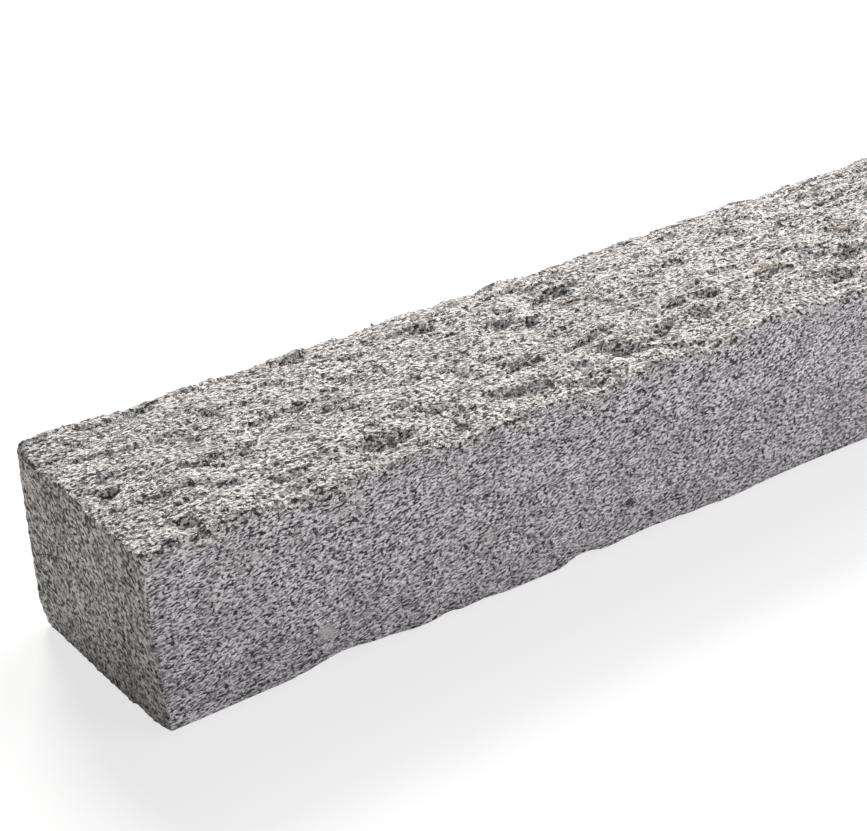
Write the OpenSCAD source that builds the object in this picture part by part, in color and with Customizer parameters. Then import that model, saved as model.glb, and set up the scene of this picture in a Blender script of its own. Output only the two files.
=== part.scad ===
// Granite kerb stone: one bar of white-grey granite, split on its four long sides.
// It lies along X with its front face towards -Y and its dressed bed on Z = 0.
// The top is a rough split face with hollows and a fall to the front, the front is a flat
// rift face, the back swells to a belly above a rounded foot, and the ends are cut off.

/* [Stock] */
// Length of the bar
bar_length = 900; // [400:10:1200]
// Depth from the front face to the fullest part of the back
bar_depth = 150; // [120:1:250]
// Height from the bed to the crown of the top
bar_height = 120; // [90:1:220]

/* [Top] */
// Fall from the crown to the front upper arris
front_fall = 8.5; // [0:0.5:15]
// Width of the strip along the front that falls
fall_width = 48; // [15:1:60]
// Length at the near end over which the fall grows to its full depth
shoulder_length = 150; // [20:5:300]
// Fall of the top to the near end
near_fall = 7; // [0:0.5:12]
// Length of the strip along the near end that falls
near_fall_length = 60; // [20:5:120]
// Width over which the fall to the near end grows from the back forwards
near_fall_width = 90; // [20:5:120]
// Height of the broad split waves, up and down from the mean
top_wave = 1.8; // [0:0.1:4]
// Height of the short split waves, up and down from the mean
top_chop = 2.4; // [0:0.1:3]
// Share of its full depth that each hollow of the top has
hollow_depth = 1; // [0:0.1:1.5]

/* [Front] */
// Depth of the flat hollows of the front rift face
front_wave = 1.2; // [0:0.1:3]
// Share of its full depth that each spall of the front arrises has
spall_depth = 1; // [0:0.1:1.5]
// Rise of the front lower arris above the bed
front_rise = 2.5; // [2:0.5:10]
// Width of the strip of the underside that rises to the front lower arris
rise_width = 30; // [10:1:45]

/* [Back and foot] */
// Overhang of the back from its upper arris to its belly
back_belly = 5; // [0:0.5:12]
// Height of the belly above the bed
belly_height = 30; // [15:1:60]
// Depth of the hollows of the split back
back_wave = 3; // [0:0.1:5]
// Radius of the rounded lower back corner
foot_radius = 15; // [4:0.5:25]
// Depth of rough underside taken off to dress the bed
bed_dressing = 3; // [2:0.1:5]

/* [Arrises and ends] */
// Radius of the broken front and back upper arrises and of the front lower arris
arris_radius = 1.5; // [1:0.5:6]
// Setback of the near end at its front upper corner
near_front_high = 0; // [0:0.1:8]
// Setback of the near end at its front lower corner
near_front_low = 6; // [0:0.1:8]
// Setback of the near end at its back upper corner
near_back_high = 0.5; // [0:0.1:8]
// Setback of the near end at its back lower corner
near_back_low = 4.2; // [0:0.1:8]
// Setback of the far end at its foot
far_low = 2; // [0:0.1:8]
// Depth of the shallow hollows of both ends
end_wave = 1.2; // [0:0.1:3]

/* [Mesh] */
// Distance between sections along the bar
section_step = 8; // [8:1:20]
// Number of faces across the top
top_faces = 18; // [12:1:18]
// Number of faces up the front
front_faces = 8; // [6:1:10]
// Number of faces up the back
back_faces = 9; // [6:1:10]
// Number of faces across the underside
under_faces = 9; // [6:1:10]
// Number of rings from the edge of an end to its middle
end_rings = 5; // [3:1:6]

/* [Hidden] */

stone_colour = [0.62, 0.61, 0.6];

// Hollows of the top, each a scoop with a steep wall at the back and a floor that runs out to the front:
// distance of the wall from the near end and from the front, length, run out, depth, turn in degrees,
// distance that the wall's ends stand behind its middle
hollows = [
    [45, 103, 56, 26, 2.8, -15, 2],
    [84, 55, 60, 26, 2.6, -24, -3],
    [127, 84.5, 64, 30, 3.2, 0, -5],
    [160, 22, 52, 20, 2.4, -18, 0],
    [181, 100, 38, 26, 3.2, -48, 2],
    [240, 58, 42, 26, 3.2, -42, 2],
    [254, 121, 46, 26, 2.8, 8, -4],
    [268, 84, 40, 26, 3, -78, 0],
    [273, 47, 38, 24, 3.2, -6, 2],
    [301, 92, 48, 28, 3.6, -28, 0],
    [306, 56, 38, 26, 3.4, 22, 0],
    [334, 26, 40, 26, 3.8, -30, 2],
    [337, 111, 44, 28, 3.8, 25, -5],
    [372, 29, 38, 20, 2.4, 8, 0],
    [386, 72, 34, 22, 2.6, -65, 0],
    [415, 32, 44, 22, 2.8, 5, 0],
    [442, 37, 36, 22, 2.8, 12, 2],
    [468, 43, 36, 20, 2.4, 10, 0],
    [478, 86, 34, 22, 2.4, -10, 0],
    [512, 93, 36, 22, 2.8, 25, 0],
    [532, 40, 38, 20, 2.6, 5, 0],
    [546, 57, 44, 24, 3, 30, 0],
    [586, 110, 54, 28, 3.6, 12, 0],
    [655, 52, 62, 30, 3, -25, 3],
    [716, 100, 56, 30, 3, -30, 3],
    [770, 40, 62, 28, 3, 12, 3],
    [812, 84, 66, 30, 3.5, -14, 4],
    [858, 114, 42, 26, 2.5, 20, 2],
];

// Width of the wall at the back of each hollow
wall_width = 10;

// Share of half a hollow's length over which it runs out to each side
side_run = 0.6;

// Rises and dips of the back upper arris: distance from the near end, length, height
back_humps = [
    [14, 84, 3.2],
    [76, 30, 1.7],
    [118, 26, 1.7],
    [215, 40, -1.3],
    [272, 54, -3.4],
    [321, 26, 1.8],
    [356, 20, -2],
    [390, 58, 2.6],
    [460, 78, 2.8],
    [512, 46, 1.6],
    [690, 80, -2.5],
    [790, 60, 2],
];

// Width of the strip of the top that a hump of its back arris reaches
hump_reach = 40;

// Spalls of the front upper arris: distance from the near end, length, depth
high_spalls = [
    [33, 24, 4],
    [205, 46, 4.5],
    [300, 64, 4.5],
    [372, 70, 1.5],
    [610, 80, 4],
    [770, 60, 5],
];

// Width of the strip of the top that a spall of its front arris reaches
spall_reach = 26;

// Spalls of the front lower arris: distance from the near end, length, height
low_spalls = [
    [112, 76, 5],
    [144, 34, 1.8],
    [182, 26, 2.5],
    [205, 36, 1.6],
    [280, 40, 4.5],
    [335, 90, 2],
    [374, 60, 1.2],
    [560, 70, 4],
    [690, 40, 3],
    [815, 90, 4.5],
];

// Sizes of one wave of each face: along the bar, across the face
broad_cell = [64, 40];
short_cell = [24, 15];
flat_cell = [70, 45];
back_cell = [45, 32];
end_cell = [38, 34];

// Seed of each face's waves
seeds = [3, 17, 29, 41, 53, 67];

// Part of a rounded corner's radius that its middle stands back from the square corner
corner_share = 1 - sqrt(0.5);

// Crowding of the points of a side towards its corners: 0 is even, 1 is as on a half circle
top_crowding = 0.45;
side_crowding = 1;

function clamp01(t) = max(0, min(1, t));
function ease(t) = let (c = clamp01(t)) c * c * (3 - 2 * c);
function mix(a, b, t) = a + (b - a) * t;

// Grid of heights from -1 to 1 that covers a face of the given size, one row per wave along it
function wave_grid(size, cell, seed) =
    let (across = ceil(size[1] / cell[1]) + 3)
    [for (row = [0 : ceil(size[0] / cell[0]) + 3]) rands(-1, 1, across, seed * 1000 + row)];

// Height of the smooth surface through a grid at a place on its face
function wave(grid, cell, along, across) =
    let (
        u = max(0, along / cell[0] + 1),
        v = max(0, across / cell[1] + 1),
        i = min(floor(u), len(grid) - 2),
        j = min(floor(v), len(grid[0]) - 2),
        s = ease(u - i),
        t = ease(v - j)
    )
    mix(mix(grid[i][j], grid[i + 1][j], s), mix(grid[i][j + 1], grid[i + 1][j + 1], s), t);

long_face = [bar_length, max(bar_depth, bar_height)];
end_face = [bar_depth, bar_height];
broad_grid = wave_grid(long_face, broad_cell, seeds[0]);
short_grid = wave_grid(long_face, short_cell, seeds[1]);
front_grid = wave_grid(long_face, flat_cell, seeds[2]);
back_grid = wave_grid(long_face, back_cell, seeds[3]);
near_grid = wave_grid(end_face, end_cell, seeds[4]);
far_grid = wave_grid(end_face, end_cell, seeds[5]);

// Depth of a hollow at a place on the top: none behind its wall, full at the foot of the wall,
// and less and less to the front
function scoop(hollow, along, across) =
    let (
        dx = along - hollow[0],
        dy = across - hollow[1],
        half = hollow[2] / 2,
        beside = (dx * cos(hollow[5]) + dy * sin(hollow[5])) / half,
        ahead = dx * sin(hollow[5]) - dy * cos(hollow[5]) + hollow[6] * beside * beside,
        span = ease((1 - abs(beside)) / side_run),
        wall = ease(ahead / wall_width + 0.5),
        floor_run = ease((hollow[3] - ahead) / (hollow[3] - wall_width / 2))
    )
    hollow[4] * span * wall * floor_run;

// Depth of a spall, or height of a hump, at a distance along its arris
function bite(spall, along) = spall[2] * ease(1 - abs(along - spall[0]) / (spall[1] / 2));

function total(list) = len(list) == 0 ? 0 : [for (item = list) 1] * list;

function top_height(along, across) =
    let (
        beside_front = 1 - ease(across / fall_width),
        at_arris = 1 - ease(across / spall_reach),
        at_back = 1 - ease((bar_depth - across) / hump_reach)
    )
    bar_height
    - near_fall * (1 - ease(along / near_fall_length)) * ease((bar_depth - across) / near_fall_width)
    - front_fall * ease(along / shoulder_length) * beside_front
    - spall_depth * at_arris * total([for (s = high_spalls) bite(s, along)])
    - hollow_depth * total([for (h = hollows) scoop(h, along, across)])
    + at_back * total([for (h = back_humps) bite(h, along)])
    + top_wave * wave(broad_grid, broad_cell, along, across)
    + top_chop * wave(short_grid, short_cell, along, across);

function under_height(along, across) =
    let (beside_front = 1 - ease(across / rise_width))
    (front_rise + bed_dressing) * beside_front
    + spall_depth * beside_front * total([for (s = low_spalls) bite(s, along)])
    + bed_dressing * (wave(broad_grid, broad_cell, bar_length - along, across) / 3 - 1);

// Distance of the front face from its flat plane, always inwards
function front_depth(along, height) =
    front_wave * (1 + wave(front_grid, flat_cell, along, height)) / 2;

// Distance of the back face from the front plane
function back_depth(along, height) =
    let (lean = height < belly_height ? 0 : (height - belly_height) / (bar_height - belly_height))
    bar_depth - back_belly * lean
    - back_wave * (1 + wave(back_grid, back_cell, along, height)) / 2;

// Distance that a rounded corner of radius r stands in from a side, at a distance from the corner
function corner_inset(distance, r) =
    distance >= r ? 0 : r - sqrt(r * r - pow(r - max(0, distance), 2));

// Distances along a side that lie closer together towards its two rounded corners
function side_steps(length, first_r, last_r, faces, crowding) =
    [for (i = [0 : faces - 1])
        let (
            even = i / faces,
            crowded = (1 - cos(180 * even)) / 2
        )
        mix(first_r * corner_share, length - last_r * corner_share, mix(even, crowded, crowding))];

// Sides of the section at a distance along the bar, each a list of [depth, height] points
// from one rounded corner up to, and without, the next
function front_side(along) =
    let (
        low = under_height(along, 0),
        length = top_height(along, 0) - low
    )
    [for (d = side_steps(length, arris_radius, arris_radius, front_faces, side_crowding)) [
        front_depth(along, low + d)
            + corner_inset(d, arris_radius) + corner_inset(length - d, arris_radius),
        low + d
    ]];

function top_side(along) =
    let (
        near = front_depth(along, bar_height),
        length = back_depth(along, bar_height) - near
    )
    [for (d = side_steps(length, arris_radius, arris_radius, top_faces, top_crowding)) [
        near + d,
        top_height(along, near + d)
            - corner_inset(d, arris_radius) - corner_inset(length - d, arris_radius)
    ]];

function back_side(along) =
    let (
        back = back_depth(along, bar_height),
        high = top_height(along, back),
        length = high - under_height(along, back)
    )
    [for (d = side_steps(length, arris_radius, foot_radius, back_faces, side_crowding)) [
        back_depth(along, high - d)
            - corner_inset(d, arris_radius) - corner_inset(length - d, foot_radius),
        high - d
    ]];

function under_side(along) =
    let (
        near = front_depth(along, 0),
        back = back_depth(along, 0),
        length = back - near
    )
    [for (d = side_steps(length, foot_radius, arris_radius, under_faces, side_crowding)) [
        back - d,
        under_height(along, back - d)
            + corner_inset(d, foot_radius) + corner_inset(length - d, arris_radius)
    ]];

function section(along) =
    concat(front_side(along), top_side(along), back_side(along), under_side(along));

// Places of the two ends at a point of the section
function near_x(depth, height) =
    let (
        s = clamp01(depth / bar_depth),
        t = clamp01(height / bar_height),
        front = mix(near_front_low, near_front_high, t),
        back = mix(near_back_low, near_back_high, t)
    )
    mix(front, back, s) + end_wave * (1 + wave(near_grid, end_cell, depth, height)) / 2;

function far_x(depth, height) =
    bar_length - far_low * (1 - clamp01(height / bar_height))
    - end_wave * (1 + wave(far_grid, end_cell, depth, height)) / 2;

// Sections of the whole bar, each point as [along, depth, height]
section_count = round(bar_length / section_step);
section_points = front_faces + top_faces + back_faces + under_faces;
rings = [for (i = [0 : section_count])
    let (t = i / section_count)
    [for (p = section(t * bar_length)) [mix(near_x(p[0], p[1]), far_x(p[0], p[1]), t), p[0], p[1]]]];

// Rings that close an end, each a smaller copy of the section about the middle of the end
end_middle = [bar_depth / 2, bar_height / 2];
function cap_ring(ring, far, share) =
    [for (p = ring)
        let (
            depth = mix(end_middle[0], p[1], share),
            height = mix(end_middle[1], p[2], share)
        )
        [far ? far_x(depth, height) : near_x(depth, height), depth, height]];
function cap_rings(ring, far) = [for (k = [end_rings - 1 : -1 : 1]) cap_ring(ring, far, k / end_rings)];
function reversed(list) = [for (i = [len(list) - 1 : -1 : 0]) list[i]];

near_tip = [near_x(end_middle[0], end_middle[1]), end_middle[0], end_middle[1]];
far_tip = [far_x(end_middle[0], end_middle[1]), end_middle[0], end_middle[1]];
skin = concat(reversed(cap_rings(rings[0], false)), rings, cap_rings(rings[section_count], true));

skin_points = concat([for (ring = skin) for (p = ring) p], [near_tip, far_tip]);
near_index = len(skin) * section_points;
far_index = near_index + 1;

// Two triangles for each cell of the skin, and a fan of triangles at the middle of each end
skin_faces = concat(
    [for (i = [0 : len(skin) - 2]) for (j = [0 : section_points - 1])
        let (
            next = (j + 1) % section_points,
            a = i * section_points + j,
            b = i * section_points + next,
            c = a + section_points,
            d = b + section_points
        )
        each [[a, c, b], [b, c, d]]],
    [for (j = [0 : section_points - 1])
        [near_index, j, (j + 1) % section_points]],
    [for (j = [0 : section_points - 1])
        let (last = (len(skin) - 1) * section_points)
        [far_index, last + (j + 1) % section_points, last + j]]
);

// Middle of the bar's own box, which becomes the origin on the bed
function middle(axis) =
    let (values = [for (p = skin_points) p[axis]])
    (min(values) + max(values)) / 2;

// Height of the block that keeps what lies above the bed
keep_height = 2 * bar_height;

module rough_bar() {
    polyhedron(points = skin_points, faces = skin_faces, convexity = 6);
}

module kerb_stone() {
    color(stone_colour)
    translate([-middle(0), -middle(1), 0])
    intersection() {
        rough_bar();
        translate([-bar_length, -bar_depth, 0])
            cube([3 * bar_length, 3 * bar_depth, keep_height]);
    }
}

kerb_stone();
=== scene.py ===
import math

import bpy
from mathutils import Matrix, Vector, noise


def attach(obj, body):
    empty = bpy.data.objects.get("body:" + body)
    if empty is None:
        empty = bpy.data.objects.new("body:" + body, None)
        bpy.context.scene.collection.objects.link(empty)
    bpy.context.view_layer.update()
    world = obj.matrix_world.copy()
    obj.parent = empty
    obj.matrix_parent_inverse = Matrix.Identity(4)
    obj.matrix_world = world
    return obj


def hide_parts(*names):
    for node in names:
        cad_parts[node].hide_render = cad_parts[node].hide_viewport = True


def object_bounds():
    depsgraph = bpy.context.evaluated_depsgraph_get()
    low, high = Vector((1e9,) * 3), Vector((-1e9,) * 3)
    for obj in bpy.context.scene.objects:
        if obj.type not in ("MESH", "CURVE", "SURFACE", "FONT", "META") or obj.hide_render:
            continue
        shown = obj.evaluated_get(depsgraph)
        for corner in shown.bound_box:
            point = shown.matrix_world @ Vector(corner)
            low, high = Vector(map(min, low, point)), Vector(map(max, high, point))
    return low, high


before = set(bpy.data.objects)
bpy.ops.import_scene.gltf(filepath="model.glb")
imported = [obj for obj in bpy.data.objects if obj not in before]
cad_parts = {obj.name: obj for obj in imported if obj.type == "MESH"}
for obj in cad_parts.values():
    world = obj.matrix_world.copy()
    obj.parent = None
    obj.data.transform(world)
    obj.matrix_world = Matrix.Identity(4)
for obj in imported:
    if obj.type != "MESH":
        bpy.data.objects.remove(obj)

bl_info = {
    "name": "Granite Kerb Stone",
    "version": (1, 0, 0),
    "blender": (4, 5, 0),
    "location": "View3D > Sidebar > Kerb Stone",
    "description": "Dresses a split granite kerb bar and sets it on a plain studio floor",
    "category": "Object",
}

CAD_NODE = "kerb_stone"
CAD_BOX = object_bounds()
CAD_MIDDLE = (CAD_BOX[0] + CAD_BOX[1]) / 2
CAD_HALF = (CAD_BOX[1] - CAD_BOX[0]) / 2
MM = 0.001
TRIANGLE_LIMIT = 198000

# Crisp risers in the soft walls of the solid's hollows, in millimetres and degrees: distance from the near
# end, from the front, length, drop, turn from the bar's length, bow
WALLS = (
    (45, 103, 56, 2.3, -15, 2),
    (84, 56, 60, 1.6, -24, -3),
    (127, 85.5, 64, 1.7, 0, -5),
    (160, 24, 52, 1.2, -18, 0),
    (183, 102, 38, 2.0, -48, 2),
    (240, 58, 42, 1.5, -42, 2),
    (254, 122, 46, 2.6, 8, -4),
    (272, 85, 40, 0.9, -78, 0),
    (273, 47, 38, 1.8, -6, 2),
    (301, 92, 48, 1.4, -28, 0),
    (306, 56, 38, 1.3, 22, 0),
    (334, 25, 40, 1.9, -30, 2),
    (337, 112, 44, 3.8, 25, -5),
    (372, 32, 38, 1.6, 8, 0),
    (390, 74, 34, 0.8, -65, 0),
    (415, 32, 44, 1.8, 5, 0),
    (442, 35, 36, 3.0, 12, 2),
    (468, 45, 36, 2.6, 10, 0),
    (478, 89, 34, 1.8, -10, 0),
    (512, 92, 36, 2.0, 25, 0),
    (532, 40, 38, 0.6, 5, 0),
    (546, 57, 44, 3.4, 30, 0),
    (586, 111, 54, 4.0, 12, 0),
    (655, 52, 62, 1.6, -25, 3),
    (716, 100, 56, 1.6, -30, 3),
    (770, 40, 62, 1.8, 12, 3),
    (812, 84, 66, 1.8, -14, 4),
    (858, 114, 42, 1.6, 20, 2),
)

# Small ledges of the top, in millimetres and degrees: distance of the riser from the near end, from the
# front, length, run out to the front, drop, turn from the bar's length
LEDGES = (
    (16, 69, 22, 14, 2.4, -5),
    (25, 45, 28, 14, 1.3, 5),
    (68, 95, 24, 12, 2.1, -75),
    (82, 88, 16, 10, 2.8, -30),
    (95, 73, 24, 12, 2.4, -45),
    (96, 101, 30, 14, 1.9, -8),
    (159, 68, 20, 12, 2.5, -70),
    (187, 44, 22, 14, 1.4, -20),
    (202, 30, 28, 14, 2.5, 0),
    (207, 88, 26, 12, 2.4, -85),
    (218, 111, 24, 14, 3.0, 5),
    (248, 24, 28, 14, 2.3, -8),
    (265, 18, 18, 10, 2.4, -15),
    (274, 114, 20, 14, 0.9, -60),
    (300, 9, 28, 10, 1.6, 5),
    (310, 44, 30, 16, 2.8, 5),
    (343, 75, 38, 12, 2.2, -85),
    (366, 80, 22, 14, 2.0, -70),
    (365, 123, 20, 12, 2.8, 20),
    (385, 12, 28, 12, 2.8, 25),
    (392, 50, 20, 12, 2.8, 10),
    (415, 48, 24, 12, 2.4, 5),
    (432, 97, 24, 12, 1.8, 0),
    (508, 46, 28, 14, 2.3, -5),
    (528, 99, 18, 10, 2.2, 0),
    (552, 99, 24, 14, 2.6, 20),
    (566, 125, 16, 10, 1.4, 30),
    (605, 131, 18, 12, 2.2, 40),
    (640, 118, 24, 14, 2.0, 10),
    (690, 30, 28, 14, 2.0, -12),
    (745, 72, 26, 14, 2.0, 20),
    (832, 40, 26, 12, 1.8, -20),
    (880, 70, 24, 12, 1.8, 30),
)

# Widths in millimetres: the solid's soft walls, their crisp risers and the risers of the ledges
SOFT_WALL = 13
CRISP_RISER = 2.8
LEDGE_RISER = 2.4

# Risers wander to and fro, and chip scars have crooked outlines: width of one bend, stray from side to side
RISER_BEND = 14 * MM
RISER_STRAY = 7 * MM
CHIP_BEND = 8 * MM
CHIP_STRAY = 9 * MM

# The split relief is drawn out along the bar: scale of its pattern that way, and the pattern's turn
RELIEF_DRAW = 0.42
RELIEF_TURN = math.radians(3)

# Chip scars: range of their own slopes, and the rise towards the front that all of them have
CHIP_SLOPE = 0.3
CHIP_LEAN = 0.12

# Share of the top's lumps and chip scars that the back has
BACK_SHARE = 0.8

# Width of one wave of the flat faces, height of the ends' waves in those of the front, and how far the ends
# stand out from the solid's
FLAT_WAVE = 9 * MM
END_WAVES = 2.2
END_RISE = 0.7 * MM

# Share of a normal along an axis at which a side's own relief starts and is full, and share of it upwards
# at which the bed ends and all relief is full
FACING = (0.5, 0.85)
DOWNWARD = (-0.75, -0.4)

# Broken arrises: passes of blur that widen their mask, share that an upright arris has, widths of the chips
# and crumbs that have broken out, share of the crumbs, levels of noise at which a break starts and is full
STRIP_PASSES = 8
UPRIGHT_SHARE = 0.3
NIBBLE_SIZE = 12 * MM
CRUMB_SIZE = 4 * MM
CRUMB_SHARE = 0.35
BREAKS = (0.45, 0.7)

# Ragged arrises: width of one tooth, distance from the box's edges at which they start and are full
RAGGED_SIZE = 5 * MM
RAGGED_FROM = 12 * MM
RAGGED_FULL = 4 * MM

# Grain: stray of the crystals' outlines, share of a crystal's own shade in its whiteness, levels of whiteness
# at which feldspar starts and is full
GRAIN_STRAY = 1 * MM
CRYSTAL_SHADE = 0.3
WHITENESS = (0.38, 0.60)

# Mica: width of its loose clusters, how much they change its share, softness of a flake's outline, cover
CLOUD_SIZE = 7 * MM
CLOUD_SHARE = 0.13
FLAKE_EDGE = 0.016
FLAKE_COVER = 0.96

# Relief of the grain beside that of the crystals: tilted facets, flakes
FACET_RELIEF = 0.3
FLAKE_RELIEF = 0.9

# Gloss of the stone
STONE_ROUGHNESS = 0.85
MICA_ROUGHNESS = 0.65
STONE_SPECULAR = 0.25

# Share of its radius within which a stain, pit or cluster is full
SPOT_CORE = 0.3

# Rust stains of the top in millimetres: distance from the near end, from the front, radius. Then the share of
# their own colour, and the width of one bend and the stray of their outlines
STAINS = ((547, 66, 15), (472, 51, 13), (352, 96, 12))
STAIN_SHARE = 0.4
STAIN_BEND = 9 * MM
STAIN_STRAY = 30 * MM

# Pits of the front in millimetres: distance from the near end, height, radius, depth. Then the share of
# mica's colour that is painted into them as painted shade of the pits
PITS = ((318, 27.5, 4, 3.0), (138, 33, 2.5, 1.2), (214, 70, 2.5, 1.2), (452, 48, 3, 1.4))
PIT_PAINTED_SHADE = 0.75

# Pale clusters of feldspar in the front in millimetres: distance from the near end, height, radius. Then the
# share of their own colour, its shade beside clean feldspar, and one bend and the stray of their outlines
CLUSTERS = ((105, 25, 8), (216, 44, 5), (66, 88, 5))
CLUSTER_SHARE = 0.7
CLUSTER_SHADE = 0.62
CLUSTER_BEND = 5 * MM
CLUSTER_STRAY = 6 * MM

# Blotches of the stone: width, shade of the darkest ones beside the tint
BLOTCH_SIZE = 24 * MM
BLOTCH_SHADE = 0.74

# Kinds of face: material, tint, height of the crystals, turn in degrees and lengths that they are drawn out
# to, marks
FACES = (
    ("split_granite", (1.0, 0.977, 0.958), 4.0 * MM, (0, 0, 0), (1.7, 1.08, 1.08), "stains"),
    ("rift_granite", (0.97, 0.935, 0.965), 2.1 * MM, (0, -10, 0), (1.58, 0.745, 0.695), "pits"),
    ("sawn_granite", (0.985, 0.96, 0.945), 3.0 * MM, (15, 0, 0), (1.25, 1.8, 1.35), ""),
)
SPLIT, RIFT, SAWN = range(len(FACES))

# Flat sides of the bar: kind of face, direction. The top and the back are split
FLAT_SIDES = ((RIFT, (0, -1, 0)), (SAWN, (-1, 0, 0)), (SAWN, (1, 0, 0)), (SAWN, (0, 0, -1)))

# Share of a normal along a direction above which a face belongs to that side
ON_SIDE = 0.7

# Reach of the split granite below the front's upper arris in millimetres: mean, waves as height and width,
# and more of it up to a distance from the near end
ARRIS_REACH = 1
ARRIS_WAVES = ((10, 16), (4, 5))
NEAR_STRETCH = 130
NEAR_REACH = 4

# Sockets of the node groups that are named after settings
RELIEF_SIZES = (
    "Wall Crispness", "Ledge Depth", "Lump Size", "Lump Height", "Chip Size", "Chip Step",
    "Grit Size", "Grit Height", "Flat Height", "Arris Chip")
MINERALS = ("Feldspar", "Quartz", "Mica")
GRAIN_SIZES = ("Grain Size", "Mica Size", "Mica Share")

# Light: direction that the sun comes from, places and sizes of the panels, the point that they look at
KEY_FROM = Vector((0.32, 0.78, 0.7))
FILL_PLACE = Vector((1.1, -1.8, 1.0))
FILL_SIZE = 1.5
TOP_PLACE = Vector((0.45, 0.6, 1.0))
TOP_SIZE = 0.7
LIGHT_TARGET = Vector((0, 0, 0.06))
WARM_WHITE = (1.0, 0.98, 0.95)
COOL_WHITE = (0.97, 0.97, 1.0)

# Width of the camera's sensor in millimetres, and the nearest and farthest that it sees in metres
SENSOR_WIDTH = 36
CLIP_START = 0.01
CLIP_END = 50


class KerbStoneSettings(bpy.types.PropertyGroup):
    """Relief of the bar's split, rift and sawn faces."""

    mesh_size: bpy.props.FloatProperty(
        name="Mesh size", description="Edge of one face of the bar's fine mesh",
        default=1.3 * MM, subtype="DISTANCE", unit="LENGTH")
    wall_crispness: bpy.props.FloatProperty(
        name="Wall crispness", description="Share of its full drop that each crisp riser of a hollow has",
        default=0.95, subtype="FACTOR", min=0, max=2)
    ledge_depth: bpy.props.FloatProperty(
        name="Ledge depth", description="Share of its full drop that each small ledge of the top has",
        default=0.85, subtype="FACTOR", min=0, max=2)
    lump_size: bpy.props.FloatProperty(
        name="Lump size", description="Width of one soft lump of a split face",
        default=12 * MM, subtype="DISTANCE", unit="LENGTH")
    lump_height: bpy.props.FloatProperty(
        name="Lump height", description="Height of the soft lumps, up and down from the mean",
        default=1.15 * MM, subtype="DISTANCE", unit="LENGTH")
    chip_size: bpy.props.FloatProperty(
        name="Chip size", description="Width of one chip scar of a split face",
        default=9 * MM, subtype="DISTANCE", unit="LENGTH")
    chip_step: bpy.props.FloatProperty(
        name="Chip step", description="Height of the steps between chip scars",
        default=0.6 * MM, subtype="DISTANCE", unit="LENGTH")
    grit_size: bpy.props.FloatProperty(
        name="Grit size", description="Width of the coarse grit of the top",
        default=3.6 * MM, subtype="DISTANCE", unit="LENGTH")
    grit_height: bpy.props.FloatProperty(
        name="Grit height", description="Height of the coarse grit, up and down from the mean",
        default=0.6 * MM, subtype="DISTANCE", unit="LENGTH")
    flat_height: bpy.props.FloatProperty(
        name="Flat-face height", description="Height of the shallow waves of the front and the ends",
        default=0.45 * MM, subtype="DISTANCE", unit="LENGTH")
    arris_chip: bpy.props.FloatProperty(
        name="Arris chip", description="Depth of the broken arrises",
        default=3.0 * MM, subtype="DISTANCE", unit="LENGTH")


class GraniteSettings(bpy.types.PropertyGroup):
    """Minerals of the white-grey granite."""

    feldspar: bpy.props.FloatVectorProperty(
        name="Feldspar", description="Colour of the white feldspar grains",
        default=(0.87, 0.86, 0.855), subtype="COLOR", min=0, max=1)
    quartz: bpy.props.FloatVectorProperty(
        name="Quartz", description="Colour of the grey quartz grains",
        default=(0.29, 0.285, 0.29), subtype="COLOR", min=0, max=1)
    mica: bpy.props.FloatVectorProperty(
        name="Mica", description="Colour of the black mica flakes",
        default=(0.022, 0.023, 0.026), subtype="COLOR", min=0, max=1)
    stain: bpy.props.FloatVectorProperty(
        name="Stain", description="Colour of the faint rust stains of the top",
        default=(0.52, 0.40, 0.27), subtype="COLOR", min=0, max=1)
    grain_size: bpy.props.FloatProperty(
        name="Grain size", description="Width of one feldspar or quartz grain",
        default=1.5 * MM, subtype="DISTANCE", unit="LENGTH")
    mica_size: bpy.props.FloatProperty(
        name="Mica size", description="Width of one mica flake",
        default=1.75 * MM, subtype="DISTANCE", unit="LENGTH")
    mica_share: bpy.props.FloatProperty(
        name="Mica share", description="Level of the flake pattern below which the stone is mica",
        default=0.435, subtype="FACTOR", min=0, max=1)


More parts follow.
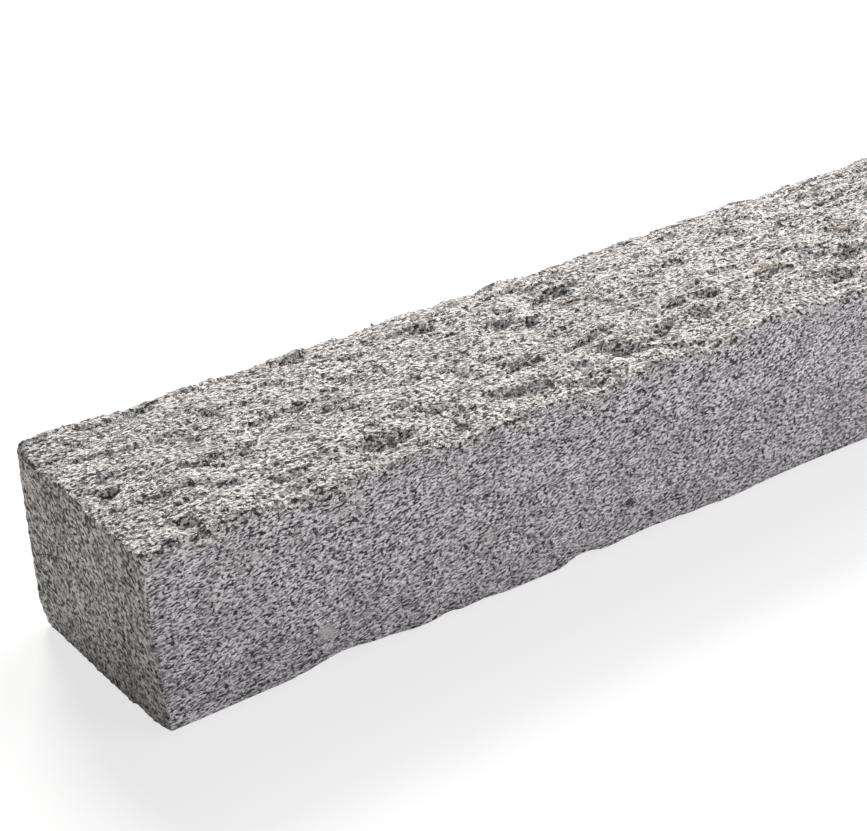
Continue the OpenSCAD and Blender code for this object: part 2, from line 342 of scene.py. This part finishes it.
class StageSettings(bpy.types.PropertyGroup):
    """Floor, light and camera."""

    floor_colour: bpy.props.FloatVectorProperty(
        name="Floor", description="Colour of the plain floor",
        default=(0.8, 0.8, 0.8), subtype="COLOR", min=0, max=1)
    floor_white: bpy.props.FloatProperty(
        name="Floor white", description="Share of plain white in what the camera sees of the floor",
        default=0.72, subtype="FACTOR", min=0, max=1)
    floor_radius: bpy.props.FloatProperty(
        name="Floor radius", description="Radius of the plain floor",
        default=9.0, subtype="DISTANCE", unit="LENGTH")
    sky_light: bpy.props.FloatProperty(
        name="Sky light", description="Strength of the even light from all round", default=0.2)
    key_light: bpy.props.FloatProperty(
        name="Key light", description="Strength of the soft sun from above and behind", default=3.95)
    key_angle: bpy.props.FloatProperty(
        name="Key angle", description="Width of the soft sun",
        default=math.radians(17), subtype="ANGLE", unit="ROTATION")
    fill_light: bpy.props.FloatProperty(
        name="Fill light", description="Power of the soft panel before the front face", default=39.5)
    top_light: bpy.props.FloatProperty(
        name="Top light", description="Power of the panel above and behind the far half", default=12.0)
    lens: bpy.props.FloatProperty(
        name="Lens", description="Focal length of the camera on a 36 mm sensor", default=89.98)
    target: bpy.props.FloatVectorProperty(
        name="Target", description="Point that the camera looks at",
        default=(-0.2203, -0.0034, 0.0884), subtype="TRANSLATION", unit="LENGTH")
    distance: bpy.props.FloatProperty(
        name="Distance", description="Distance from the camera to its target",
        default=1.2652, subtype="DISTANCE", unit="LENGTH")
    azimuth: bpy.props.FloatProperty(
        name="Azimuth", description="Turn of the camera round the bar from its front",
        default=math.radians(-33.549), subtype="ANGLE", unit="ROTATION")
    elevation: bpy.props.FloatProperty(
        name="Elevation", description="Height of the camera above the horizon",
        default=math.radians(27.141), subtype="ANGLE", unit="ROTATION")
    roll: bpy.props.FloatProperty(
        name="Roll", description="Turn of the camera about its own line of sight",
        default=math.radians(-3.295), subtype="ANGLE", unit="ROTATION")


class Graph:
    """Adds nodes to a node tree and links their sockets."""

    def __init__(self, tree):
        self.tree = tree

    def add(self, kind, inputs=None, **settings):
        node = self.tree.nodes.new(kind)
        for name, value in settings.items():
            setattr(node, name, value)
        for key, value in (inputs or {}).items():
            if isinstance(value, bpy.types.NodeSocket):
                self.tree.links.new(value, node.inputs[key])
            else:
                node.inputs[key].default_value = value
        return node

    def math(self, operation, a, b=0.0, c=0.0):
        return self.add("ShaderNodeMath", {0: a, 1: b, 2: c}, operation=operation).outputs[0]

    def total(self, *values):
        result = values[0]
        for value in values[1:]:
            result = self.math("ADD", result, value)
        return result

    def product(self, *values):
        result = values[0]
        for value in values[1:]:
            result = self.math("MULTIPLY", result, value)
        return result

    def vector(self, operation, a, b=(0, 0, 0)):
        return self.add("ShaderNodeVectorMath", {0: a, 1: b}, operation=operation).outputs[0]

    def scaled(self, vector, factor):
        node = self.add("ShaderNodeVectorMath", {0: vector, "Scale": factor}, operation="SCALE")
        return node.outputs[0]

    def along(self, vector, direction):
        node = self.add("ShaderNodeVectorMath", {0: vector, 1: direction}, operation="DOT_PRODUCT")
        return node.outputs["Value"]

    def distance(self, vector, point):
        node = self.add("ShaderNodeVectorMath", {0: vector, 1: point}, operation="DISTANCE")
        return node.outputs["Value"]

    def axes(self, vector):
        return self.add("ShaderNodeSeparateXYZ", {0: vector}).outputs

    def step(self, value, low, high):
        """0 at low and beyond, 1 at high and beyond, and a smooth change between them."""
        node = self.add("ShaderNodeMapRange", {"Value": value, "From Min": low, "From Max": high},
                        interpolation_type="SMOOTHSTEP")
        return node.outputs["Result"]

    def noise(self, vector, size, detail=2.0, roughness=0.5):
        scale = self.math("DIVIDE", 1.0, size)
        node = self.add("ShaderNodeTexNoise", {
            "Vector": vector, "Scale": scale, "Detail": detail, "Roughness": roughness})
        return node.outputs

    def swing(self, vector, size, detail=2.0, roughness=0.5):
        """Noise from about -0.5 to 0.5."""
        return self.math("SUBTRACT", self.noise(vector, size, detail, roughness)[0], 0.5)

    def pushed(self, vector, place, size, reach, detail=2.0, roughness=0.6):
        """A vector that the noise at a place pushes about, by up to half a reach each way."""
        push = self.vector("SUBTRACT", self.noise(place, size, detail, roughness)[1], (0.5, 0.5, 0.5))
        return self.vector("ADD", vector, self.scaled(push, reach))

    def cells(self, vector, size, dimensions="3D"):
        scale = self.math("DIVIDE", 1.0, size)
        node = self.add("ShaderNodeTexVoronoi", {"Vector": vector, "Scale": scale},
                        voronoi_dimensions=dimensions)
        return node.outputs

    def mix(self, factor, a, b, blend_type="MIX"):
        """Colour between two colours. A Mix node has its colour sockets after those of its other types."""
        node = self.add("ShaderNodeMix", {0: factor, 6: a, 7: b}, data_type="RGBA", blend_type=blend_type)
        return node.outputs[2]

    def link(self, source, target):
        self.tree.links.new(source, target)


def new_group(name, kind, inputs, outputs):
    """A node group whose sockets each have a name and a type, with its inner source and sink."""
    tree = bpy.data.node_groups.new(name, kind)
    for direction, sockets in (("INPUT", inputs), ("OUTPUT", outputs)):
        for socket_name, socket_type in sockets:
            tree.interface.new_socket(socket_name, in_out=direction, socket_type=socket_type)
    graph = Graph(tree)
    source = tree.nodes.new("NodeGroupInput").outputs
    sink = tree.nodes.new("NodeGroupOutput").inputs
    return graph, source, sink


def setting(settings, socket_name):
    """The setting that a node group's socket is named after."""
    return getattr(settings, socket_name.lower().replace(" ", "_"))


def seen(g):
    """1 for the rays that show a surface, directly or in a reflection, and 0 for those that light it."""
    rays = g.add("ShaderNodeLightPath").outputs
    return g.math("MAXIMUM", rays["Is Camera Ray"],
                  g.math("MAXIMUM", rays["Is Glossy Ray"], rays["Is Transmission Ray"]))


def on_bar(along, across, height):
    """Point of the bar from millimetres from its near end, its front and its bed."""
    return Vector((CAD_BOX[0].x + along * MM, CAD_BOX[0].y + across * MM, height * MM))


def chip_facets(g, place, size, step):
    """Height of a field of tilted chips: each cell has a level and a slope of its own, and all of them
    rise a little towards the front, so that the steps between them face it."""
    cells = g.cells(place, size, "2D")
    level = g.axes(cells["Color"])
    inside = g.axes(g.vector("SUBTRACT", place, cells["Position"]))
    slope_x = g.math("MULTIPLY", g.math("SUBTRACT", level["Y"], 0.5), CHIP_SLOPE)
    slope_y = g.math("MULTIPLY_ADD", g.math("SUBTRACT", level["Z"], 0.5), CHIP_SLOPE, -CHIP_LEAN)
    lift = g.math("MULTIPLY", g.math("SUBTRACT", level["X"], 0.5), step)
    return g.total(lift, g.math("MULTIPLY", inside["X"], slope_x), g.math("MULTIPLY", inside["Y"], slope_y))


def riser_frame(g, place, wander, along, across, length, turn, bow=0):
    """For a place on the top: 1 beside a riser's middle and 0 past its ends, and the distance ahead of it."""
    heading = Vector((math.cos(math.radians(turn)), math.sin(math.radians(turn)), 0))
    ahead = Vector((heading.y, -heading.x, 0))
    offset = g.vector("SUBTRACT", place, on_bar(along, across, 0))
    u = g.math("DIVIDE", g.along(offset, heading), length * MM / 2)
    v = g.math("ADD", g.along(offset, ahead), wander)
    if bow:
        v = g.math("MULTIPLY_ADD", g.math("MULTIPLY", u, u), bow * MM, v)
    return g.step(g.math("ABSOLUTE", u), 1.0, 0.4), v


def wall_drop(g, place, wander, wall):
    """Depth that makes a soft wall of the solid crisp: it builds up the wall's head and digs out its foot."""
    along, across, length, drop, turn, bow = wall
    span, v = riser_frame(g, place, wander, along, across, length, turn, bow)
    crisp = g.step(v, -CRISP_RISER / 2 * MM, CRISP_RISER / 2 * MM)
    soft = g.step(v, -SOFT_WALL / 2 * MM, SOFT_WALL / 2 * MM)
    return g.product(g.math("SUBTRACT", crisp, soft), span, drop * MM)


def ledge_drop(g, place, wander, ledge):
    """Depth that a ledge takes off the top: none behind its riser, all at its foot, less to the front."""
    along, across, length, run, drop, turn = ledge
    span, v = riser_frame(g, place, wander, along, across, length, turn)
    riser = g.step(v, -LEDGE_RISER / 2 * MM, LEDGE_RISER / 2 * MM)
    run_out = g.step(v, run * MM, 1 * MM)
    return g.product(riser, run_out, span, drop * MM)


def spot_mask(g, place, along, height, radius):
    """1 in the middle of a round spot of the front and 0 outside it."""
    middle = on_bar(along, 0, height)
    middle.y = 0
    reach = g.distance(g.vector("MULTIPLY", place, (1, 0, 1)), middle)
    return g.step(reach, radius * MM, SPOT_CORE * radius * MM)


def relief_group():
    """Geometry nodes that carve the bar: risers, ledges, lumps, chip scars and grit of the split faces, waves
    and pits of the flat ones, and the broken arrises."""
    g, given, result = new_group(
        "Split stone relief", "GeometryNodeTree",
        [("Geometry", "NodeSocketGeometry"), *[(name, "NodeSocketFloat") for name in RELIEF_SIZES]],
        [("Geometry", "NodeSocketGeometry")])
    g.tree.is_modifier = True
    place = g.add("GeometryNodeInputPosition").outputs[0]
    normal = g.add("GeometryNodeInputNormal").outputs[0]
    facing = g.axes(normal)
    turned_to = [g.math("ABSOLUTE", facing[axis]) for axis in range(3)]
    top = g.step(facing["Z"], *FACING)
    back = g.step(facing["Y"], *FACING)
    front = g.step(facing["Y"], -FACING[0], -FACING[1])
    end = g.step(turned_to[0], *FACING)
    off_bed = g.step(facing["Z"], *DOWNWARD)

    # The split relief lies on the top as (x, y) and on the back as (x, z), drawn out along the bar
    axes = g.axes(place)
    along = g.math("MULTIPLY", axes["X"], RELIEF_DRAW)
    across = g.math("MULTIPLY_ADD", g.math("SUBTRACT", axes["Y"], axes["Z"]), top, axes["Z"])
    spread = g.add("ShaderNodeCombineXYZ", {0: along, 1: across}).outputs[0]
    turned = g.add("ShaderNodeVectorRotate", {"Vector": spread, "Angle": RELIEF_TURN},
                   rotation_type="Z_AXIS").outputs[0]
    crooked = g.pushed(turned, place, CHIP_BEND, CHIP_STRAY, 3.0)
    chips = chip_facets(g, crooked, given["Chip Size"], given["Chip Step"])
    lumps = g.product(g.swing(turned, given["Lump Size"], 3.0, 0.55), 2.0, given["Lump Height"])
    grit = g.product(g.swing(turned, given["Grit Size"], 2.0, 0.6), 2.0, given["Grit Height"])
    broken = g.math("ADD", chips, lumps)

    wander = g.product(g.swing(place, RISER_BEND, 3.0, 0.65), RISER_STRAY)
    walls = g.total(*[wall_drop(g, place, wander, wall) for wall in WALLS])
    ledges = g.total(*[ledge_drop(g, place, wander, ledge) for ledge in LEDGES])
    drops = g.total(g.math("MULTIPLY", walls, given["Wall Crispness"]),
                    g.math("MULTIPLY", ledges, given["Ledge Depth"]))
    top_lift = g.math("MULTIPLY", g.math("SUBTRACT", g.math("ADD", broken, grit), drops), top)
    back_lift = g.product(broken, back, BACK_SHARE)

    flat_wave = g.product(g.swing(place, FLAT_WAVE, 4.0, 0.6), 2.0, given["Flat Height"])
    pits = g.total(*[
        g.product(spot_mask(g, place, from_end, height, radius), depth * MM)
        for from_end, height, radius, depth in PITS])
    front_lift = g.math("MULTIPLY", g.math("SUBTRACT", flat_wave, pits), front)
    end_lift = g.math("MULTIPLY", g.math("MULTIPLY_ADD", flat_wave, END_WAVES, END_RISE), end)

    # An arris is where the surface turns to no side fully. Blur widens it to a strip that chips break out of
    steepest = g.math("MAXIMUM", turned_to[0], g.math("MAXIMUM", turned_to[1], turned_to[2]))
    edge = g.step(steepest, 0.98, 0.75)
    level = g.step(turned_to[2], 0.15, 0.45)
    share = g.math("MULTIPLY_ADD", level, 1 - UPRIGHT_SHARE, UPRIGHT_SHARE)
    blurred = g.add("GeometryNodeBlurAttribute",
                    {"Value": g.math("MULTIPLY", edge, share), "Iterations": STRIP_PASSES},
                    data_type="FLOAT").outputs[0]
    strip = g.step(blurred, 0.03, 0.4)
    nibbles = g.step(g.noise(place, NIBBLE_SIZE, 3.0, 0.65)[0], *BREAKS)
    crumbs = g.step(g.noise(place, CRUMB_SIZE, 1.0)[0], *BREAKS)
    breaks = g.total(nibbles, g.math("MULTIPLY", crumbs, CRUMB_SHARE))
    arris = g.product(strip, breaks, given["Arris Chip"])

    # Where two sides of the box meet, the arris is ragged as well
    rims = [
        g.step(g.math("ABSOLUTE", g.math("SUBTRACT", axes[axis], CAD_MIDDLE[axis])),
               CAD_HALF[axis] - RAGGED_FROM, CAD_HALF[axis] - RAGGED_FULL)
        for axis in range(3)]
    rim = g.math("MAXIMUM", g.math("MULTIPLY", rims[0], g.math("MAXIMUM", rims[1], rims[2])),
                 g.math("MULTIPLY", rims[1], rims[2]))
    ragged = g.product(g.swing(place, RAGGED_SIZE, 3.0, 0.6), given["Arris Chip"], rim)

    lift = g.math("SUBTRACT", g.total(top_lift, back_lift, front_lift, end_lift, ragged), arris)
    offset = g.scaled(normal, g.math("MULTIPLY", lift, off_bed))
    moved = g.add("GeometryNodeSetPosition", {"Geometry": given["Geometry"], "Offset": offset})
    g.link(moved.outputs[0], result["Geometry"])
    return g.tree


def grain_group():
    """Shader nodes of the granite: feldspar, quartz and mica grains with their colour and relief."""
    g, given, result = new_group(
        "Granite grain", "ShaderNodeTree",
        [("Vector", "NodeSocketVector"),
         *[(name, "NodeSocketColor") for name in MINERALS],
         *[(name, "NodeSocketFloat") for name in GRAIN_SIZES]],
        [("Color", "NodeSocketColor"), ("Roughness", "NodeSocketFloat"), ("Height", "NodeSocketFloat")])
    drawn = given["Vector"]
    warped = g.pushed(drawn, drawn, GRAIN_STRAY, GRAIN_STRAY)

    # Feldspar and quartz run into each other, and each crystal has a shade of its own
    crystals = g.noise(drawn, given["Grain Size"], 2.0, 0.6)[0]
    grains = g.axes(g.cells(warped, given["Grain Size"])["Color"])
    whiteness = g.math("MULTIPLY_ADD", g.math("SUBTRACT", grains["X"], 0.5), CRYSTAL_SHADE, crystals)
    ground = g.mix(g.step(whiteness, *WHITENESS), given["Quartz"], given["Feldspar"])

    # Mica flakes come in loose clusters
    clouds = g.swing(drawn, CLOUD_SIZE)
    level = g.math("MULTIPLY_ADD", clouds, -CLOUD_SHARE, given["Mica Share"])
    flakes = g.noise(warped, given["Mica Size"], 1.5, 0.55)[0]
    dark = g.step(g.math("SUBTRACT", flakes, level), FLAKE_EDGE, -FLAKE_EDGE)
    colour = g.mix(g.math("MULTIPLY", dark, FLAKE_COVER), ground, given["Mica"])
    roughness = g.math("MULTIPLY_ADD", dark, MICA_ROUGHNESS - STONE_ROUGHNESS, STONE_ROUGHNESS)
    g.link(colour, result["Color"])
    g.link(roughness, result["Roughness"])

    # Crystals stand up as tilted facets, and flakes have broken out to small pits
    facets = g.math("MULTIPLY", grains["Y"], FACET_RELIEF)
    height = g.total(facets, crystals, g.math("MULTIPLY", flakes, FLAKE_RELIEF))
    g.link(height, result["Height"])
    return g.tree


def stone_material(name, group, granite, tint, bump, turn, draw, marks=""):
    """Granite of one kind of face: its grain is shared, but its tint, the height of its crystals and the turn
    and length that they are drawn out to are its own. Its marks are stains, pits darkened with painted shade
    together with pale clusters, or none."""
    material = bpy.data.materials.new(name)
    material.use_nodes = True
    tree = material.node_tree
    tree.nodes.clear()
    g = Graph(tree)
    place = g.add("ShaderNodeTexCoord").outputs["Object"]
    rotation = [math.radians(angle) for angle in turn]
    drawn = g.add("ShaderNodeMapping", {"Vector": place, "Rotation": rotation, "Scale": draw},
                  vector_type="TEXTURE")
    grain = g.add("ShaderNodeGroup", node_tree=group)
    g.link(drawn.outputs[0], grain.inputs["Vector"])
    for mineral in MINERALS:
        grain.inputs[mineral].default_value = (*setting(granite, mineral), 1)
    for size in GRAIN_SIZES:
        grain.inputs[size].default_value = setting(granite, size)
    blotch = g.step(g.noise(place, BLOTCH_SIZE, 3.0, 0.6)[0], 0.25, 0.75)
    shade = g.mix(blotch, (*[BLOTCH_SHADE * c for c in tint], 1), (*tint, 1))
    colour = g.mix(1.0, grain.outputs["Color"], shade, "MULTIPLY")
    if marks == "pits":
        # Painted shade: each pit of the front is darkened towards mica's colour, where shade falls in the
        # recess
        for along, height, radius, _ in PITS:
            mask = g.math("MULTIPLY", spot_mask(g, place, along, height, radius), PIT_PAINTED_SHADE)
            colour = g.mix(mask, colour, (*granite.mica, 1))
        frayed = g.pushed(place, place, CLUSTER_BEND, CLUSTER_STRAY)
        for along, height, radius in CLUSTERS:
            mask = g.math("MULTIPLY", spot_mask(g, frayed, along, height, radius), CLUSTER_SHARE)
            colour = g.mix(mask, colour, (*[CLUSTER_SHADE * c for c in granite.feldspar], 1))
    if marks == "stains":
        ragged = g.product(g.swing(place, STAIN_BEND, 3.0, 0.6), STAIN_STRAY)
        flat = g.vector("MULTIPLY", place, (1, 1, 0))
        for along, across, radius in STAINS:
            reach = g.math("ADD", g.distance(flat, on_bar(along, across, 0)), ragged)
            spot = g.step(reach, radius * MM, SPOT_CORE * radius * MM)
            mask = g.math("MULTIPLY", spot, STAIN_SHARE)
            colour = g.mix(mask, colour, (*granite.stain, 1), "MULTIPLY")
    relief = g.add("ShaderNodeBump", {"Height": grain.outputs["Height"], "Strength": 1.0, "Distance": bump})
    shader = g.add("ShaderNodeBsdfPrincipled", {
        "Base Color": colour, "Roughness": grain.outputs["Roughness"], "Normal": relief.outputs[0],
        "Specular IOR Level": STONE_SPECULAR})
    g.add("ShaderNodeOutputMaterial", {"Surface": shader.outputs[0]})
    return material


def active_only(obj):
    """Leaves only this object selected and active."""
    bpy.ops.object.select_all(action="DESELECT")
    obj.select_set(True)
    bpy.context.view_layer.objects.active = obj


def apply_modifier(obj, name, kind, **settings):
    """Adds a modifier, sets it and applies it."""
    modifier = obj.modifiers.new(name, kind)
    for key, value in settings.items():
        setattr(modifier, key, value)
    active_only(obj)
    bpy.ops.object.modifier_apply(modifier=name)


def assign_faces(obj, slot_index, chosen):
    """Gives a material slot to the faces that a test chooses."""
    active_only(obj)
    bpy.ops.object.mode_set(mode="EDIT")
    bpy.ops.mesh.select_mode(type="FACE")
    bpy.ops.mesh.select_all(action="DESELECT")
    bpy.ops.object.mode_set(mode="OBJECT")
    obj.active_material_index = slot_index
    for polygon in obj.data.polygons:
        polygon.select = chosen(polygon)
    bpy.ops.object.mode_set(mode="EDIT")
    bpy.ops.object.material_slot_assign()
    bpy.ops.object.mode_set(mode="OBJECT")


def looks(direction):
    """Test for the faces that look along a direction."""
    axis = Vector(direction)
    return lambda polygon: polygon.normal.dot(axis) > ON_SIDE


def below_arris(mesh):
    """Test for the faces of the front that the broken upper arris reaches down to."""
    on_front = looks((0, -1, 0))
    column = 3 * MM
    arris = {}
    for polygon in mesh.polygons:
        if on_front(polygon):
            key = round(polygon.center.x / column)
            arris[key] = max(arris.get(key, 0), polygon.center.z)

    def reached(polygon):
        if not on_front(polygon):
            return False
        place = polygon.center
        waves = sum(height * noise.noise(place / (width * MM)) for height, width in ARRIS_WAVES)
        reach = ARRIS_REACH + waves
        if place.x < on_bar(NEAR_STRETCH, 0, 0).x:
            reach += NEAR_REACH
        return arris[round(place.x / column)] - place.z < reach * MM

    return reached


class KERB_OT_stone(bpy.types.Operator):
    """Dress the kerb bar: fine mesh, split relief and granite"""

    bl_idname = "kerb.stone"
    bl_label = "Granite bar"

    def execute(self, context):
        size = context.scene.kerb_stone
        bar = self.merged_copy(context)
        apply_modifier(bar, "Fine mesh", "REMESH", mode="VOXEL", voxel_size=size.mesh_size)
        self.lay_granite(bar, context.scene.kerb_granite)
        self.carve(bar, size)
        triangles = sum(len(polygon.vertices) - 2 for polygon in bar.data.polygons)
        apply_modifier(bar, "Thin", "DECIMATE", ratio=min(1.0, TRIANGLE_LIMIT / triangles))
        bpy.ops.object.shade_smooth()

        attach(bar, "root")
        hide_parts(CAD_NODE)
        return {"FINISHED"}

    def merged_copy(self, context):
        """A copy of the solid's mesh with its loose triangles merged."""
        bar = bpy.data.objects.new("granite_bar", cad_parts[CAD_NODE].data.copy())
        context.scene.collection.objects.link(bar)
        bar.data.materials.clear()
        active_only(bar)
        bpy.ops.object.mode_set(mode="EDIT")
        bpy.ops.mesh.select_all(action="SELECT")
        bpy.ops.mesh.remove_doubles(threshold=0.01 * MM)
        bpy.ops.object.mode_set(mode="OBJECT")
        return bar

    def lay_granite(self, bar, granite):
        """Gives each side its kind of granite, with split granite over the front's upper arris."""
        group = grain_group()
        for name, tint, bump, turn, draw, marks in FACES:
            bar.data.materials.append(stone_material(name, group, granite, tint, bump, turn, draw, marks))
        for kind, direction in FLAT_SIDES:
            assign_faces(bar, kind, looks(direction))
        assign_faces(bar, SPLIT, below_arris(bar.data))

    def carve(self, bar, size):
        """Applies the relief with the sizes that are set."""
        relief = bar.modifiers.new("Relief", "NODES")
        relief.node_group = relief_group()
        for item in relief.node_group.interface.items_tree:
            if item.name in RELIEF_SIZES:
                relief[item.identifier] = setting(size, item.name)
        active_only(bar)
        bpy.ops.object.modifier_apply(modifier=relief.name)


class KERB_OT_stage(bpy.types.Operator):
    """Set the floor, the light and the camera"""

    bl_idname = "kerb.stage"
    bl_label = "Studio stage"

    def execute(self, context):
        stage = context.scene.kerb_stage
        self.floor(stage)
        self.light(context, stage)
        self.camera(context, stage)
        context.scene.view_settings.view_transform = "Standard"
        return {"FINISHED"}

    def floor(self, stage):
        """Adds a plain round floor that keeps the bar's shadow and is otherwise seen as white."""
        bpy.ops.object.select_all(action="DESELECT")
        bpy.ops.mesh.primitive_circle_add(vertices=96, radius=stage.floor_radius, fill_type="NGON")
        floor = bpy.context.active_object
        floor.name = "studio_floor"
        material = bpy.data.materials.new("pale_floor")
        material.use_nodes = True
        material.node_tree.nodes.clear()
        g = Graph(material.node_tree)
        matt = g.add("ShaderNodeBsdfDiffuse", {"Color": (*stage.floor_colour, 1)})
        white = g.add("ShaderNodeEmission", {"Color": (1, 1, 1, 1), "Strength": 1.0})
        share = g.math("MULTIPLY", seen(g), stage.floor_white)
        surface = g.add("ShaderNodeMixShader", {0: share, 1: matt.outputs[0], 2: white.outputs[0]})
        g.add("ShaderNodeOutputMaterial", {"Surface": surface.outputs[0]})
        floor.data.materials.append(material)

    def light(self, context, stage):
        """Adds the even light from all round, the soft sun and the two panels."""
        world = bpy.data.worlds.new("studio")
        context.scene.world = world
        world.use_nodes = True
        world.node_tree.nodes.clear()
        g = Graph(world.node_tree)
        strength = g.math("MULTIPLY_ADD", seen(g), 1.0 - stage.sky_light, stage.sky_light)
        sky = g.add("ShaderNodeBackground", {"Color": (1, 1, 1, 1), "Strength": strength})
        g.add("ShaderNodeOutputWorld", {"Surface": sky.outputs[0]})

        bpy.ops.object.light_add(type="SUN")
        key = bpy.context.active_object
        key.name = "key_sun"
        key.data.energy = stage.key_light
        key.data.angle = stage.key_angle
        key.data.color = WARM_WHITE
        key.rotation_euler = KEY_FROM.to_track_quat("Z", "Y").to_euler()

        self.panel("fill_panel", stage.fill_light, FILL_PLACE, FILL_SIZE, COOL_WHITE)
        self.panel("top_panel", stage.top_light, TOP_PLACE, TOP_SIZE, WARM_WHITE)

    def panel(self, name, power, place, size, colour):
        """Adds a square panel that looks at the bar."""
        bpy.ops.object.light_add(type="AREA", location=place)
        panel = bpy.context.active_object
        panel.name = name
        panel.data.energy = power
        panel.data.size = size
        panel.data.color = colour
        panel.rotation_euler = (place - LIGHT_TARGET).to_track_quat("Z", "Y").to_euler()

    def camera(self, context, stage):
        """Adds the camera where its turn, height and distance from its target put it."""
        azimuth, elevation, roll = stage.azimuth, stage.elevation, stage.roll
        level = Vector((math.cos(azimuth), math.sin(azimuth), 0))
        outward = Vector((math.sin(azimuth), -math.cos(azimuth), 0))
        back = outward * math.cos(elevation) + Vector((0, 0, math.sin(elevation)))
        upright = back.cross(level)
        right = level * math.cos(roll) + upright * math.sin(roll)
        up = upright * math.cos(roll) - level * math.sin(roll)
        bpy.ops.object.camera_add()
        camera = bpy.context.active_object
        camera.name = "photo_camera"
        turn = Matrix((right, up, back)).transposed().to_4x4()
        camera.matrix_world = Matrix.Translation(Vector(stage.target) + back * stage.distance) @ turn
        camera.data.sensor_width = SENSOR_WIDTH
        camera.data.lens = stage.lens
        camera.data.clip_start = CLIP_START
        camera.data.clip_end = CLIP_END
        context.scene.camera = camera


class KERB_PT_panel(bpy.types.Panel):
    """Sizes, stone and stage of the kerb bar"""

    bl_idname = "KERB_PT_panel"
    bl_label = "Kerb Stone"
    bl_space_type = "VIEW_3D"
    bl_region_type = "UI"
    bl_category = "Kerb Stone"

    def draw(self, context):
        layout = self.layout
        for operator, settings in (
                (KERB_OT_stone, (context.scene.kerb_stone, context.scene.kerb_granite)),
                (KERB_OT_stage, (context.scene.kerb_stage,))):
            layout.operator(operator.bl_idname)
            for group in settings:
                for name in group.bl_rna.properties.keys():
                    if name not in {"rna_type", "name"}:
                        layout.prop(group, name)


CLASSES = (KerbStoneSettings, GraniteSettings, StageSettings, KERB_OT_stone, KERB_OT_stage, KERB_PT_panel)


def register():
    for cls in CLASSES:
        bpy.utils.register_class(cls)
    bpy.types.Scene.kerb_stone = bpy.props.PointerProperty(type=KerbStoneSettings)
    bpy.types.Scene.kerb_granite = bpy.props.PointerProperty(type=GraniteSettings)
    bpy.types.Scene.kerb_stage = bpy.props.PointerProperty(type=StageSettings)


def unregister():
    del bpy.types.Scene.kerb_stage
    del bpy.types.Scene.kerb_granite
    del bpy.types.Scene.kerb_stone
    for cls in reversed(CLASSES):
        bpy.utils.unregister_class(cls)


def main():
    register()
    bpy.ops.kerb.stone()
    bpy.ops.kerb.stage()


if __name__ == "__main__":
    main()
